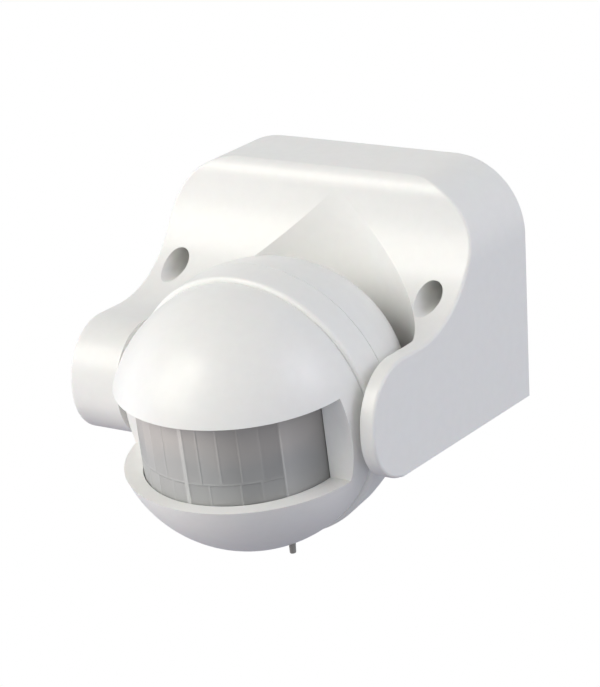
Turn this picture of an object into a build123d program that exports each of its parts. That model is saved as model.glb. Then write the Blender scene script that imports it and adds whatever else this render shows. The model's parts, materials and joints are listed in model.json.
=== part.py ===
from build123d import *
from math import acos, cos, degrees, radians, sin
import os

# A wall-mounted motion sensor: a hood-shaped housing with two arms, and a ball-shaped
# sensing head that tilts between them about a left-right pivot line.
# The origin is the centre of the wall face, +Y goes into the wall, +X is to the right
# seen from the front, +Z is up. All lengths are in millimetres, all angles in degrees.

os.makedirs("parts", exist_ok=True)

# ---- housing ----------------------------------------------------------------------
HOUSING_W = 76.0            # at the wall
DRAFT = 0.87                # the sides lean in towards the front by this
HOUSING_H = 52.4
HOUSING_DEPTH = 66.0        # longer than the arms reach
CORNER_R = 16.2             # upper corners, seen from the front
WALL = 2.2
EDGE_R = 0.6                # rounding along the front edges
NOSE_TIP_Y = -63.05         # round ends of the arms: a quarter circle above and one below
NOSE_UPPER_R = 11.9
NOSE_LOWER_R = 11.3
NOSE_LAP = 0.1              # the flat underside cuts this much off the lower one
COVE_R = 23.5               # hollow curve from the front face out to the arms
FRONT_Y = -20.8
TOP_Z = HOUSING_H / 2
BOTTOM_Z = -HOUSING_H / 2
ARM_TOP_Z = -1.65
COVE_Z = ARM_TOP_Z + COVE_R
BROW_R = TOP_Z - COVE_Z     # round from the front face back to the top

PIVOT_Y = -50.6
PIVOT_Z = -14.7
HEAD_X = 4.5                # the head sits right of centre: the left arm is the hollow one
GAP_HALF_W = 29.45          # half the gap between the arms
GAP_WALL = 2.4
SCOOP_R = 31.32             # upright hollow behind the head
SCOOP_LEAD = 1.5            # its axis stands this far ahead of the pivot

# ---- head -------------------------------------------------------------------------
TILT = 7.1                  # the stored pose looks down by this
HEAD_R = 29.0
SHELL_WALL = 2.0
RING_REAR = -1.65           # distances ahead of the pivot line
RING_FRONT = 5.75
RING_EDGE_R = 0.8
RING_REAR_CHAMFER = 0.2
COVER_R = 28.0
COVER_CENTRE = 8.0
COVER_REAR = 5.8

WHOLE_WIDTH = (-HEAD_R, HEAD_R)
WINDOW_TOP = 9.5
WINDOW_BOTTOM = -8.7
WINDOW_REAR = 12.6
FRAME_WALL = 1.8
LENS_R = 21.35
LENS_CENTRE = 10.1
LENS_T = 0.6
LENS_GAP = 0.15             # round the lens, in the slot that holds it
LENS_END = 11.7
LENS_LAP = 1.6              # how far the lens reaches past the window, above and below

# ---- pivots -----------------------------------------------------------------------
PIVOT_R = 4.8
PIVOT_BORE_R = 3.4
PIVOT_CLEARANCE = 0.06
FLANGE_R = 5.7
FLANGE_IN = 24.4            # distances from the head's centre, along the pivot line
FLANGE_OUT = 25.9
TUBE_TIP = 35.05
STUB_TIP = 31.6
STUB_CHAMFER = 0.4
BLIND_BORE_END = 31.8
RING_GROOVE_R = 4.2
RING_GROOVE = (33.55, 34.35)
RING_OUTER_R = 6.6
WASHER_R = 7.6
WASHER_T = 0.5
WAVE_R = 6.6
WAVE_T = 1.0
WAVE_NOTCH_R = 1.6

# ---- fasteners --------------------------------------------------------------------
HOUSING_SCREW_MID_X = -0.5
HOUSING_SCREW_X = 31.45     # each way from that middle
HOUSING_SCREW_Z = 3.65
HOUSING_SCREW_L = 11.8
SCREW_TUBE_R = 4.4
SCREW_WELL_R = 2.9
SCREW_SEAT_Y = -13.0
SCREW_HOLE_R = 1.75
SCREW_R = 1.6
SCREW_HEAD_R = 2.6
SCREW_HEAD_T = 2.2
PILOT_R = 1.62
POST_RING_R = 24.0
POST_R = 3.9
SHELL_SCREW_SEAT = -8.0
SHELL_SCREW_TIP = 1.2
SHELL_SCREW_ANGLES = (90, 210, 330)
SMALL_SCREW_R = 1.1
SMALL_PILOT_R = 1.12
SMALL_HEAD_R = 2.1
SMALL_HEAD_T = 1.4
CROSS = (2.8, 0.7)

# ---- wall plate and wiring --------------------------------------------------------
PLATE_T = 2.5
PLATE_GAP = 0.15
SEAL_T = 1.2
SEAL_W = 1.5
LEDGE_T = 1.5
LEDGE_W = 1.4
BOSS_R = 2.6
BOSS_END_Y = -5.6
BOSS_BOTTOM_Y = -1.0
SLOT_X = 22.5               # the two wall-screw slots
SLOT_Z = -8.0
SLOT_HALF_W = 2.25
SLOT_LENGTH = 10.0
ENTRY_Z = -15.5             # cable entry
ENTRY_HOLE_R = 6.0
ENTRY_BORE_R = 4.0
GROMMET_FLANGE_R = 6.7
GROMMET_FRONT_Y = -4.5
GROMMET_CHAMFER = 0.5

BLOCK = (30.0, 11.4, 15.0)  # three-way terminal block: width, depth, height
BLOCK_Z = 8.0
WAY_PITCH = 9.0
WAY_SIDE = 5.0
CAGE_SIDE = 4.9
CAGE_HOLE = 3.2
CAGE_L = 12.0
BLOCK_SLIT = (1.1, 2.2)
WAY_Y = -8.2
TERMINAL_SCREW_Z = 3.6
TERMINAL_WELL_R = 2.2
TERMINAL_HEAD_R = 2.0
TERMINAL_HEAD_T = 1.4
TERMINAL_SCREW_R = 1.4

CLAMP = (21.0, 2.4, 5.0)
CLAMP_Z = -4.6
CLAMP_Y = -9.6
CLAMP_EDGE_R = 2.4
CLAMP_SCREW_X = 7.6
CLAMP_SCREW_L = 4.8
CLAMP_BOSS_R = 2.6

LEAD_R = 0.85
LEAD_PITCH = 2.0
LEAD_BEND_R = 2.4
LEAD_Y = -8.2
LEAD_DROP_X = -21.5
ARM_LEAD_X = -33.3
LEAD_SPLIT = 26.0           # where the leads in the pivot tube meet those in the head
LEAD_GAP = 0.2
HEAD_LEAD_X = -14.0
HEAD_LEAD_BEND_R = 4.8

# ---- seals and lens frame ---------------------------------------------------------
SHELL_SEAL_R = (27.6, 28.4)
SHELL_SEAL_T = 0.6
COLLAR_REAR = 1.75
COLLAR_R = (25.4, 26.9)
COLLAR_NOTCH_R = 6.0
LENS_FRAME_T = 1.4
LENS_FRAME_H = 1.4
LENS_FRAME_END = 13.0
LENS_LEG_X = 19.4
LENS_LEG_W = 1.8
LENS_LEG_UP = 7.6

# ---- boards and components --------------------------------------------------------
BOARD_T = 1.6
MAIN_BOARD_REAR = 1.7
MAIN_BOARD_FRONT = MAIN_BOARD_REAR + BOARD_T
MAIN_BOARD_R = 23.0
BOARD_BOSS_RING_R = 21.5
BOARD_BOSS_R = 2.6
BOARD_SCREW_ANGLES = (30, 150, 270)
BOARD_RIB = (6.5, 2.6)
POWER_BOARD_FRONT = -14.0
POWER_BOARD_R = 18.5
SPACER_RING_R = 16.5
SPACER_R = 1.8
SPACER_ANGLES = (50, 200, 300)
DIAL_BOARD_Z = -17.6
DIAL_BOARD = (29.0, 11.5)
DIAL_BOARD_REAR = 5.0
DIAL_BOARD_T = 1.4
PIN_PITCH = 2.54
PIN_HALF_W = 0.3
DIAL_HEADER_W = 12.8
DIAL_HEADER_H = 2.5
DIAL_HEADER_FRONT = 6.6

# Component boxes and cylinders: across, forward and up limits in the head's frame.
CAN_R = 4.6
CAN_RIM_R = 4.9
CAN_RIM = (4.3, 4.8)
CAN_FRONT = 8.8
CAN_PIN_RING_R = 2.54
CAN_PIN_R = 0.25
CAN_PIN_ANGLES = (45, 135, 270)
FILTER_SIZE = (4.2, 3.2)
FILTER_T = 0.5
PHOTOCELL_AT = (-10.5, 5.5)
PHOTOCELL_R = 2.4
PHOTOCELL_DEPTH = (5.4, 7.4)
LED_AT = (10.5, 5.5)
LED_R = 1.5
LED_RIM_R = 1.75
LED_RIM_T = 0.5
LED_DEPTH = (4.4, 7.0)
WIRE_R = 0.25
WIRE_HALF_PITCH = 1.2
CHIP = ((-4.6, 4.6), (-1.6, 1.7), (10.6, 15.4))
CHIP_PINS = 7
CHIP_PIN_PITCH = 1.27
CHIP_PIN_DROP = 1.0
CHIP_PIN_REACH = 0.6
RELAY = ((0.5, 15.9), (-14.0, -0.6), (-9.4, 9.4))
BODY_EDGE_R = 0.6
FILM_CAPACITOR = ((-9.8, -3.2), (-14.0, -3.4), (-6.4, 6.4))
BULK_CAPACITOR_AT = (-5.0, 12.2)
BULK_CAPACITOR_R = 4.0
BULK_CAPACITOR_EDGE_R = 0.3
BULK_CAPACITOR_DEPTH = (-14.0, -3.0)
DIODE_UP = (-9.4, -12.6)
DIODE_X = (-11.0, -5.8)
DIODE_R = 1.3
DIODE_DEPTH = -12.2
RESISTOR_X = (-16.0, -7.72)
RESISTOR_UP = (-5.5, 0.5)
RESISTOR_R = 1.0
RESISTOR_DEPTH = 4.8
LINK_X = (-4.4, 4.4)
LINK_UP = (-14.8, -12.6)

# ---- setting dials ----------------------------------------------------------------
DIAL_PITCH = 9.5
DIAL_CENTRE = 12.0
WELL_R = 3.7
WELL_WALL = 1.2
WELL_FLOOR = -22.0
DIAL_R = 3.1
DIAL_TOP = -22.3
DIAL_BOTTOM = -24.0
DIAL_CHAMFER = 0.3
FIN_TIP = -27.3
FIN_W = 1.3
FIN_L = 5.2
SHAFT_R = 1.2
SHAFT_CLEARANCE = 0.06
SHAFT_TOP = -18.2
POT_R = 3.4
POT_BOTTOM = -20.6
DIAL_NAMES = ("range_dial", "time_dial", "light_dial")
FIN_ANGLES = (20, 75, -57)

# ---- planes of the tilted head ----------------------------------------------------
PIVOT = (HEAD_X, PIVOT_Y, PIVOT_Z)
HEAD_UP = (0, -sin(radians(TILT)), cos(radians(TILT)))
HEAD_FORWARD = (0, -cos(radians(TILT)), -sin(radians(TILT)))
HEAD = Plane(origin=PIVOT, x_dir=(1, 0, 0), z_dir=HEAD_UP)          # local +Y is rearward
HEAD_FACE = Plane(origin=PIVOT, x_dir=(1, 0, 0), z_dir=HEAD_FORWARD)  # local +Y is up
PIVOT_SIDE = Plane(origin=PIVOT, x_dir=HEAD_FORWARD, z_dir=(1, 0, 0))  # normal is the pivot line
WALL_FACE = Plane.XZ                                                # normal is -Y, off the wall


def save(piece, node):
    """Label a finished piece and write it as one STEP file."""
    piece.part.label = node
    export_step(piece.part, f"parts/{node}.step")


def in_head(across, forward, up):
    """A place in the head's frame, turned with the head."""
    return HEAD.location * Location((across, -forward, up))


def bar(across, forward, up, mode=Mode.ADD):
    """A box in the head's frame, given by its (low, high) limits across, forward and up."""
    limits = (across, forward, up)
    size = [high - low for low, high in limits]
    with Locations(in_head(*[(low + high) / 2 for low, high in limits])):
        Box(*size, mode=mode)


def spigot(plane, start, end, radius, mode=Mode.ADD):
    """A cylinder about a plane's normal, from one height to another."""
    with BuildSketch(plane.offset(start)) as section:
        Circle(radius)
    extrude(section.sketch, amount=end - start, mode=mode)


def tube(plane, start, end, radius, bore):
    """A round tube about a plane's normal, from one height to another."""
    with BuildSketch(plane.offset(start)) as section:
        Circle(radius)
        Circle(bore, mode=Mode.SUBTRACT)
    extrude(section.sketch, amount=end - start)


def at(plane, x, y):
    """The plane moved to a point given in its own axes."""
    return Plane(origin=plane.from_local_coords((x, y, 0)), x_dir=plane.x_dir, z_dir=plane.z_dir)


def cross_recess(plane, depth):
    """Cut a cross-shaped driver recess into a screw head that faces along the plane's normal."""
    with BuildSketch(plane) as cross:
        Rectangle(*CROSS)
        Rectangle(*CROSS, rotation=90)
    extrude(cross.sketch, amount=-depth, mode=Mode.SUBTRACT)


def screw(plane, head_r, head_t, shank_r, shank_l):
    """A pan-head screw: the plane is the underside of its head, the normal points out of it."""
    spigot(plane, 0, head_t, head_r)
    spigot(plane, -shank_l, 0, shank_r)
    cross_recess(plane.offset(head_t), head_t / 2)


# ---- housing ----------------------------------------------------------------------
def front_outline(inset):
    """Outline seen from the front: round upper corners; the side profile cuts its lower edge."""
    with BuildSketch(WALL_FACE) as outline:
        with Locations((0, TOP_Z - inset)):
            Rectangle(HOUSING_W - 2 * inset, HOUSING_H + COVE_R, align=(Align.CENTER, Align.MAX))
        fillet(outline.vertices().group_by(Axis.Y)[-1], CORNER_R - inset)
    return outline.sketch


def side_profile(inset):
    """Outline seen from the side: arm with its round end, hollow curve, brow and top."""
    low = BOTTOM_Z + inset
    high = TOP_Z - inset
    arm_top = ARM_TOP_Z - inset
    tip_y = NOSE_TIP_Y + inset
    upper = (NOSE_TIP_Y + NOSE_UPPER_R, ARM_TOP_Z - NOSE_UPPER_R)
    lower = (NOSE_TIP_Y + NOSE_LOWER_R, BOTTOM_Z - NOSE_LAP + NOSE_LOWER_R)
    lower_r = NOSE_LOWER_R - inset
    cut = acos((lower_r - NOSE_LAP) / lower_r)
    underside_end = (lower[0] - lower_r * sin(cut), low)
    cove_y = FRONT_Y - COVE_R
    brow_y = FRONT_Y + BROW_R
    with BuildSketch(Plane.YZ) as profile:
        with BuildLine():
            Polyline(underside_end, (HOUSING_DEPTH, low), (HOUSING_DEPTH, high), (brow_y, high))
            CenterArc((brow_y, COVE_Z), BROW_R - inset, 90, 90)
            CenterArc((cove_y, COVE_Z), COVE_R + inset, 0, -90)
            Line((cove_y, arm_top), (upper[0], arm_top))
            CenterArc(upper, NOSE_UPPER_R - inset, 90, 90)
            Line((tip_y, upper[1]), (tip_y, lower[1]))
            CenterArc(lower, lower_r, 180, 90 - degrees(cut))
        make_face()
    return profile.sketch


def hood(inset):
    """The housing's solid shape, moved inward by inset all over."""
    with BuildPart() as block:
        extrude(front_outline(inset), amount=HOUSING_DEPTH, taper=DRAFT)
        extrude(side_profile(inset), amount=HOUSING_W, both=True, mode=Mode.INTERSECT)
    return block.part


def keep_between(near, far):
    """Keep only what lies between two distances from the wall."""
    with BuildSketch(WALL_FACE.offset(near)) as slab:
        Rectangle(2 * HOUSING_W, 2 * HOUSING_W)
    extrude(slab.sketch, amount=far - near, mode=Mode.INTERSECT)


def head_slot(grow):
    """Cut the space between the arms: an upright cylinder behind the head, straight in front."""
    width = 2 * (GAP_HALF_W + grow)
    with BuildSketch(Plane.XY.offset(BOTTOM_Z - WALL)) as slot:
        with Locations((HEAD_X, PIVOT_Y - SCOOP_LEAD)):
            Circle(SCOOP_R + grow)
            Rectangle(width, 2 * HOUSING_DEPTH, mode=Mode.INTERSECT)
            Rectangle(width, HOUSING_DEPTH, align=(Align.CENTER, Align.MAX))
    extrude(slot.sketch, amount=HOUSING_H + 2 * WALL, mode=Mode.SUBTRACT)


def screw_axis(side):
    """The plane on the wall face whose normal is one housing screw's line."""
    return at(WALL_FACE, HOUSING_SCREW_MID_X + side * HOUSING_SCREW_X, HOUSING_SCREW_Z)


def clear_bosses():
    """Cut room for the wall plate's two screw bosses."""
    for side in (-1, 1):
        spigot(screw_axis(side), 0, -SCREW_SEAT_Y, BOSS_R + PLATE_GAP, Mode.SUBTRACT)


def make_housing():
    with BuildPart() as hollow:
        add(hood(WALL))
        head_slot(GAP_WALL)
        for side in (-1, 1):
            spigot(screw_axis(side), -BOSS_END_Y, HOUSING_DEPTH, SCREW_TUBE_R, Mode.SUBTRACT)
    with BuildPart() as ledge:
        add(hood(WALL / 2))
        add(hood(WALL + LEDGE_W), mode=Mode.SUBTRACT)
        keep_between(PLATE_T + SEAL_T, PLATE_T + SEAL_T + LEDGE_T)
        clear_bosses()
    with BuildPart() as housing:
        add(hood(0))
        above = housing.edges().filter_by(lambda edge: edge.center().Z > BOTTOM_Z + EDGE_R)
        curved = above.filter_by(GeomType.LINE, reverse=True)
        right_front = curved.filter_by(lambda edge: edge.center().X > 0 and edge.center().Y < 0)
        fillet(right_front.filter_by_position(Axis.Y, -HOUSING_DEPTH, -EDGE_R), EDGE_R)
        split(bisect_by=Plane.YZ, keep=Keep.TOP)
        mirror(about=Plane.YZ)
        head_slot(0)
        add(hollow.part, mode=Mode.SUBTRACT)
        add(ledge.part)
        for side in (-1, 1):
            spigot(screw_axis(side), -SCREW_SEAT_Y, HOUSING_DEPTH, SCREW_WELL_R, Mode.SUBTRACT)
            spigot(screw_axis(side), 0, -SCREW_SEAT_Y, SCREW_HOLE_R, Mode.SUBTRACT)
        left_arm = -(GAP_HALF_W + 2 * GAP_WALL)
        spigot(PIVOT_SIDE, left_arm, 0, PIVOT_R + PIVOT_CLEARANCE, Mode.SUBTRACT)
        spigot(PIVOT_SIDE, 0, BLIND_BORE_END, PIVOT_R + PIVOT_CLEARANCE, Mode.SUBTRACT)
    save(housing, "housing")


# ---- wall plate and what it carries ------------------------------------------------
def make_wall_plate():
    entry = at(WALL_FACE, 0, ENTRY_Z)
    with BuildPart() as wall_plate:
        add(hood(WALL + PLATE_GAP))
        keep_between(0, PLATE_T)
        for side in (-1, 1):
            spigot(screw_axis(side), PLATE_T, -BOSS_END_Y, BOSS_R)
            spigot(screw_axis(side), -BOSS_BOTTOM_Y, -BOSS_END_Y, PILOT_R, Mode.SUBTRACT)
            clamp_boss = at(WALL_FACE, side * CLAMP_SCREW_X, CLAMP_Z)
            spigot(clamp_boss, PLATE_T, -CLAMP_Y - CLAMP[1] / 2, CLAMP_BOSS_R)
            spigot(clamp_boss, PLATE_T, -CLAMP_Y, SMALL_PILOT_R, Mode.SUBTRACT)
        spigot(entry, 0, PLATE_T, ENTRY_HOLE_R, Mode.SUBTRACT)
        with BuildSketch(WALL_FACE):
            with Locations((-SLOT_X, SLOT_Z), (SLOT_X, SLOT_Z)):
                SlotOverall(SLOT_LENGTH, 2 * SLOT_HALF_W)
        extrude(amount=PLATE_T, mode=Mode.SUBTRACT)
    save(wall_plate, "wall_plate")


def make_plate_seal():
    with BuildPart() as plate_seal:
        add(hood(WALL + PLATE_GAP))
        add(hood(WALL + PLATE_GAP + SEAL_W), mode=Mode.SUBTRACT)
        keep_between(PLATE_T, PLATE_T + SEAL_T)
        clear_bosses()
    save(plate_seal, "plate_seal")


def make_cable_grommet():
    entry = at(WALL_FACE, 0, ENTRY_Z)
    with BuildPart() as cable_grommet:
        tube(entry, 0, PLATE_T, ENTRY_HOLE_R, ENTRY_BORE_R)
        tube(entry, PLATE_T, -GROMMET_FRONT_Y, GROMMET_FLANGE_R, ENTRY_BORE_R)
        rim = cable_grommet.edges().filter_by(GeomType.CIRCLE).sort_by(Axis.Y)[0:2]
        chamfer(rim.sort_by(SortBy.RADIUS)[-1], GROMMET_CHAMFER)
    save(cable_grommet, "cable_grommet")


def make_housing_screws():
    with BuildPart() as housing_screws:
        for side in (-1, 1):
            seat = screw_axis(side).offset(-SCREW_SEAT_Y)
            screw(seat, SCREW_HEAD_R, SCREW_HEAD_T, SCREW_R, HOUSING_SCREW_L)
    save(housing_screws, "housing_screws")


def way_positions():
    """The three ways of the terminal block, left to right."""
    return [-WAY_PITCH, 0, WAY_PITCH]


def terminal_screw_planes(distance):
    """Planes facing away from the wall, one on each terminal screw's line."""
    return [at(WALL_FACE.offset(distance), x, BLOCK_Z + dz)
            for x in way_positions() for dz in (-TERMINAL_SCREW_Z, TERMINAL_SCREW_Z)]


def make_terminal_block():
    middle_y = -PLATE_T - BLOCK[1] / 2
    front = PLATE_T + BLOCK[1]
    with BuildPart() as terminal_block:
        with Locations((0, middle_y, BLOCK_Z)):
            Box(*BLOCK)
        for x in way_positions():
            with Locations((x, WAY_Y, BLOCK_Z)):
                Box(WAY_SIDE, WAY_SIDE, BLOCK[2], mode=Mode.SUBTRACT)
        for plane in terminal_screw_planes(-WAY_Y):
            spigot(plane, 0, front + WAY_Y, TERMINAL_WELL_R, Mode.SUBTRACT)
        for x in (-WAY_PITCH / 2, WAY_PITCH / 2):
            with Locations((x, -front, BLOCK_Z)):
                Box(*BLOCK_SLIT, BLOCK[2], mode=Mode.SUBTRACT)
    save(terminal_block, "terminal_block")


def make_terminal_cages():
    with BuildPart() as terminal_cages:
        for x in way_positions():
            with Locations((x, WAY_Y, BLOCK_Z)):
                Box(CAGE_SIDE, CAGE_SIDE, CAGE_L)
                Cylinder(CAGE_HOLE / 2, CAGE_L, mode=Mode.SUBTRACT)
        for plane in terminal_screw_planes(-WAY_Y):
            spigot(plane, 0, CAGE_SIDE, TERMINAL_SCREW_R, Mode.SUBTRACT)
    save(terminal_cages, "terminal_cages")


def make_terminal_screws():
    with BuildPart() as terminal_screws:
        for plane in terminal_screw_planes(-WAY_Y + CAGE_SIDE / 2):
            screw(plane, TERMINAL_HEAD_R, TERMINAL_HEAD_T, TERMINAL_SCREW_R, CAGE_SIDE / 2 - LEAD_R)
    save(terminal_screws, "terminal_screws")


def make_cord_clamp():
    with BuildPart() as cord_clamp:
        with Locations((0, CLAMP_Y, CLAMP_Z)):
            Box(*CLAMP)
        fillet(cord_clamp.edges().filter_by(Axis.Y), CLAMP_EDGE_R)
        for side in (-1, 1):
            spigot(at(WALL_FACE, side * CLAMP_SCREW_X, CLAMP_Z), 0, HOUSING_DEPTH, SMALL_PILOT_R,
                   Mode.SUBTRACT)
    save(cord_clamp, "cord_clamp")


def make_clamp_screws():
    seat = -CLAMP_Y + CLAMP[1] / 2
    with BuildPart() as clamp_screws:
        for side in (-1, 1):
            head = at(WALL_FACE.offset(seat), side * CLAMP_SCREW_X, CLAMP_Z)
            screw(head, SMALL_HEAD_R, SMALL_HEAD_T, SMALL_SCREW_R, CLAMP_SCREW_L)
    save(clamp_screws, "clamp_screws")


# ---- leads ------------------------------------------------------------------------
def lead(points, bends):
    """A round insulated lead along straight runs joined by tangent arcs."""
    with BuildLine() as route:
        FilletPolyline(*points, radius=bends)
    path = route.wire()
    with BuildSketch(Plane(origin=path @ 0, z_dir=path % 0)) as section:
        Circle(LEAD_R)
    sweep(section.sketch, path=path)
    print("lead length", round(path.length, 1), "bend radius", bends)


def make_base_leads():
    """Three leads from the terminal block along the left arm into the pivot tube."""
    for index, name in enumerate(("line", "neutral", "switched")):
        step = (index - 1) * LEAD_PITCH
        start_x = way_positions()[index]
        top_z = BLOCK_Z + BLOCK[2] / 2 + LEAD_BEND_R + index * LEAD_PITCH
        points = (
            (start_x, LEAD_Y, BLOCK_Z + CAGE_L / 2),
            (start_x, LEAD_Y, top_z),
            (LEAD_DROP_X - step, LEAD_Y, top_z),
            (LEAD_DROP_X - step, LEAD_Y, PIVOT_Z + step),
            (ARM_LEAD_X, LEAD_Y - 2 * LEAD_BEND_R, PIVOT_Z + step),
            (ARM_LEAD_X, PIVOT_Y, PIVOT_Z + step),
            (HEAD_X - LEAD_SPLIT, PIVOT_Y, PIVOT_Z + step),
        )
        with BuildPart() as base_lead:
            lead(points, LEAD_BEND_R)
        save(base_lead, f"base_lead_{name}")


def make_head_leads():
    """Three short leads from the pivot tube to the power board."""
    for index, name in enumerate(("line", "neutral", "switched")):
        step = (index - 1) * LEAD_PITCH
        points = [HEAD.from_local_coords(point) for point in (
            (-LEAD_SPLIT + LEAD_GAP, 0, step),
            (HEAD_LEAD_X, 0, step),
            (HEAD_LEAD_X, -POWER_BOARD_FRONT, step),
        )]
        with BuildPart() as head_lead:
            lead(points, HEAD_LEAD_BEND_R)
        save(head_lead, f"head_lead_{name}")


# ---- pivots -----------------------------------------------------------------------
def pivot_plane(distance):
    """A plane across the pivot line, given by its distance right of the head's centre."""
    return PIVOT_SIDE.offset(distance)


def make_pivot_tube():
    with BuildPart() as pivot_tube:
        tube(pivot_plane(0), -TUBE_TIP, -FLANGE_IN, PIVOT_R, PIVOT_BORE_R)
        tube(pivot_plane(0), -FLANGE_OUT, -FLANGE_IN, FLANGE_R, PIVOT_BORE_R)
        with BuildSketch(pivot_plane(-RING_GROOVE[1])):
            Circle(PIVOT_R)
            Circle(RING_GROOVE_R, mode=Mode.SUBTRACT)
        extrude(amount=RING_GROOVE[1] - RING_GROOVE[0], mode=Mode.SUBTRACT)
    save(pivot_tube, "pivot_tube")


def make_pivot_stub():
    with BuildPart() as pivot_stub:
        spigot(pivot_plane(0), FLANGE_IN, STUB_TIP, PIVOT_R)
        spigot(pivot_plane(0), FLANGE_IN, FLANGE_OUT, FLANGE_R)
        tip = pivot_stub.edges().filter_by(GeomType.CIRCLE).sort_by(Axis.X)[-1]
        chamfer(tip, STUB_CHAMFER)
    save(pivot_stub, "pivot_stub")


def make_pivot_rings():
    """Friction washer, wave washer and retaining ring on the pivot tube, inside the left arm."""
    wall_x = GAP_HALF_W + GAP_WALL
    with BuildPart() as friction_washer:
        tube(pivot_plane(0), -wall_x - WASHER_T, -wall_x, WASHER_R, PIVOT_R + 2 * PIVOT_CLEARANCE)
    save(friction_washer, "friction_washer")
    with BuildPart() as wave_washer:
        flat = -wall_x - WASHER_T
        tube(pivot_plane(0), flat - WAVE_T, flat, WAVE_R, PIVOT_R + 2 * PIVOT_CLEARANCE)
        with BuildSketch(pivot_plane(flat - WAVE_T)):
            with PolarLocations(WASHER_R, 3):
                Circle(WAVE_NOTCH_R)
        extrude(amount=WAVE_T, mode=Mode.SUBTRACT)
    save(wave_washer, "wave_washer")
    with BuildPart() as retaining_ring:
        tube(pivot_plane(0), -RING_GROOVE[1], -RING_GROOVE[0], RING_OUTER_R, RING_GROOVE_R)
        with BuildSketch(pivot_plane(-RING_GROOVE[1])):
            Rectangle(2 * RING_OUTER_R, RING_GROOVE_R, align=(Align.MIN, Align.CENTER))
        extrude(amount=RING_GROOVE[1] - RING_GROOVE[0], mode=Mode.SUBTRACT)
    save(retaining_ring, "retaining_ring")


# ---- head shells ------------------------------------------------------------------
def ring_points(radius, angles):
    """Points on a circle across the head, as (right, up)."""
    return [(radius * cos(radians(a)), radius * sin(radians(a))) for a in angles]


def post_sketch(distance, radius):
    """Circles at the three shell screws, on a plane across the head."""
    with BuildSketch(HEAD_FACE.offset(distance)) as posts:
        with Locations(*ring_points(POST_RING_R, SHELL_SCREW_ANGLES)):
            Circle(radius)
    return posts.sketch


def board_boss_sketch(distance, radius):
    """Circles at the three main-board screws, on a plane across the head."""
    with BuildSketch(HEAD_FACE.offset(distance)) as bosses:
        with Locations(*ring_points(BOARD_BOSS_RING_R, BOARD_SCREW_ANGLES)):
            Circle(radius)
    return bosses.sketch


def pivot_holes():
    """Cut the seats for the pivot tube and the pivot stub through a head shell."""
    seat_r = PIVOT_R + PIVOT_CLEARANCE / 2
    spigot(pivot_plane(0), -HEAD_R, HEAD_R, seat_r, Mode.SUBTRACT)


def make_rear_shell():
    with BuildPart() as hollow:
        with Locations(PIVOT):
            Sphere(HEAD_R - SHELL_WALL)
        extrude(post_sketch(RING_REAR, POST_R), amount=-HEAD_R, mode=Mode.SUBTRACT)
    with BuildPart() as rear_shell:
        with Locations(PIVOT):
            Sphere(HEAD_R)
        split(bisect_by=HEAD_FACE.offset(RING_REAR), keep=Keep.BOTTOM)
        add(hollow.part, mode=Mode.SUBTRACT)
        extrude(post_sketch(RING_REAR, PILOT_R + PIVOT_CLEARANCE), amount=-HEAD_R, mode=Mode.SUBTRACT)
        extrude(post_sketch(SHELL_SCREW_SEAT, SCREW_WELL_R), amount=-HEAD_R, mode=Mode.SUBTRACT)
        with BuildSketch(HEAD_FACE.offset(RING_REAR)):
            Circle(SHELL_SEAL_R[1])
            Circle(SHELL_SEAL_R[0], mode=Mode.SUBTRACT)
        extrude(amount=-SHELL_SEAL_T, mode=Mode.SUBTRACT)
        pivot_holes()
    save(rear_shell, "rear_shell")


def make_shell_seal():
    with BuildPart() as shell_seal:
        tube(HEAD_FACE, RING_REAR - SHELL_SEAL_T, RING_REAR, SHELL_SEAL_R[1], SHELL_SEAL_R[0])
        pivot_holes()
    save(shell_seal, "shell_seal")


def make_middle_ring():
    bore = HEAD_R - SHELL_WALL
    depth = MAIN_BOARD_REAR - RING_REAR
    with BuildPart() as middle_ring:
        tube(HEAD_FACE, RING_REAR, RING_FRONT, HEAD_R, bore)
        rims = middle_ring.edges().filter_by(GeomType.CIRCLE).sort_by(Axis(PIVOT, HEAD_FORWARD))
        outer_rims = [pair.sort_by(SortBy.RADIUS)[-1] for pair in (rims[:2], rims[-2:])]
        chamfer(outer_rims[0], RING_REAR_CHAMFER)
        fillet(outer_rims[1], RING_EDGE_R)
        extrude(post_sketch(RING_REAR, POST_R), amount=depth)
        extrude(board_boss_sketch(RING_REAR, BOARD_BOSS_R), amount=depth)
        with BuildSketch(HEAD_FACE.offset(RING_REAR)):
            with PolarLocations((BOARD_BOSS_RING_R + bore) / 2, 3, start_angle=BOARD_SCREW_ANGLES[0]):
                Rectangle(*BOARD_RIB)
        extrude(amount=depth)
        extrude(post_sketch(RING_REAR, PILOT_R), amount=depth, mode=Mode.SUBTRACT)
        extrude(board_boss_sketch(RING_REAR, SMALL_PILOT_R), amount=depth, mode=Mode.SUBTRACT)
        pivot_holes()
    save(middle_ring, "middle_ring")


def dial_positions():
    """The three dials' centres in the head's frame, left to right."""
    return [(x, -DIAL_CENTRE) for x in (-DIAL_PITCH, 0, DIAL_PITCH)]


def dial_line(x, y):
    """A plane on one dial's line whose normal points up the head."""
    return at(HEAD, x, y)


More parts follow.
